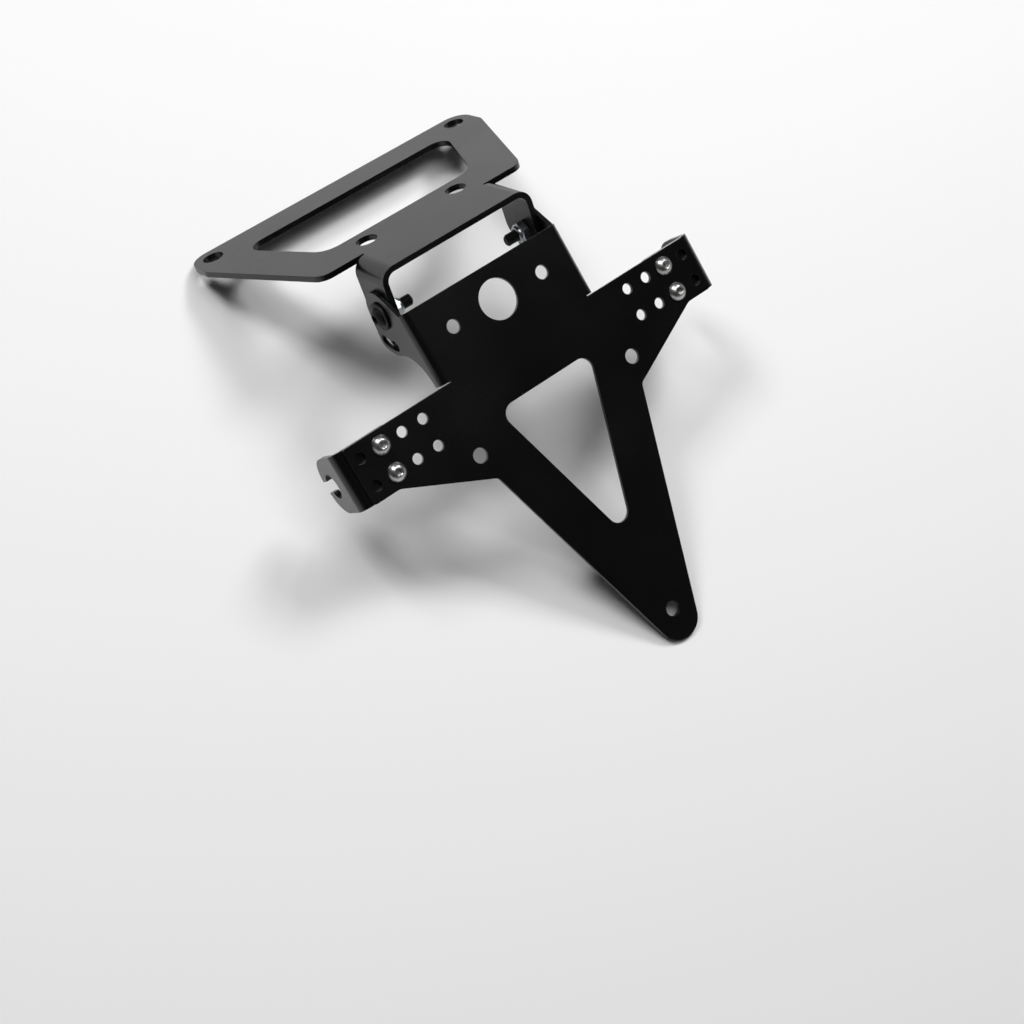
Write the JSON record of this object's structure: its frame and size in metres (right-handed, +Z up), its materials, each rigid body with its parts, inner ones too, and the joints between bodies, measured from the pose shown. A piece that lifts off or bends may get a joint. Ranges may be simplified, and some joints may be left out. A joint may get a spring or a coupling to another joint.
{
  "type": "motorcycle tail tidy",
  "caption": "Tilting licence plate holder: a tapered plate carrier with drilled wings and keyhole indicator brackets, pivoting on a trapezoidal frame bracket.",
  "frame": {"origin": "on the ground, below the middle of the part's box, as it stands on the tip of the plate carrier and the far edge of the mounting bracket", "axes": "+X along the pivot axis, +Y from the tip of the plate carrier towards the far edge of the mounting bracket, +Z up"},
  "size_m": [0.2212, 0.3076, 0.0891],
  "materials": {
    "powder_coat": "satin black powder coat on mild steel sheet",
    "black_oxide": "black oxide steel",
    "stainless": "bright stainless steel",
    "zinc": "bright zinc plate"
  },
  "bodies": {
    "bracket": {"mounting_bracket": "powder_coat", "pivot_screw_left": "black_oxide", "pivot_screw_right": "black_oxide", "pivot_washer_left": "black_oxide", "pivot_washer_right": "black_oxide", "pivot_nut_left": "zinc", "pivot_nut_right": "zinc"},
    "carrier": {"plate_carrier": "powder_coat", "indicator_bracket_left": "powder_coat", "indicator_bracket_right": "powder_coat", "indicator_screw_left_upper": "stainless", "indicator_screw_left_lower": "stainless", "indicator_screw_right_upper": "stainless", "indicator_screw_right_lower": "stainless", "indicator_washer_left_upper": "zinc", "indicator_washer_left_lower": "zinc", "indicator_washer_right_upper": "zinc", "indicator_washer_right_lower": "zinc", "indicator_nut_left_upper": "zinc", "indicator_nut_left_lower": "zinc", "indicator_nut_right_upper": "zinc", "indicator_nut_right_lower": "zinc"}
  },
  "joints": [
    {"name": "carrier_tilt", "type": "hinge", "parent": "bracket", "child": "carrier", "pos_m": [0, 0.05093, 0.06424], "axis": [1, 0, 0], "range_deg": [-16.5, 16.5]}
  ]
}
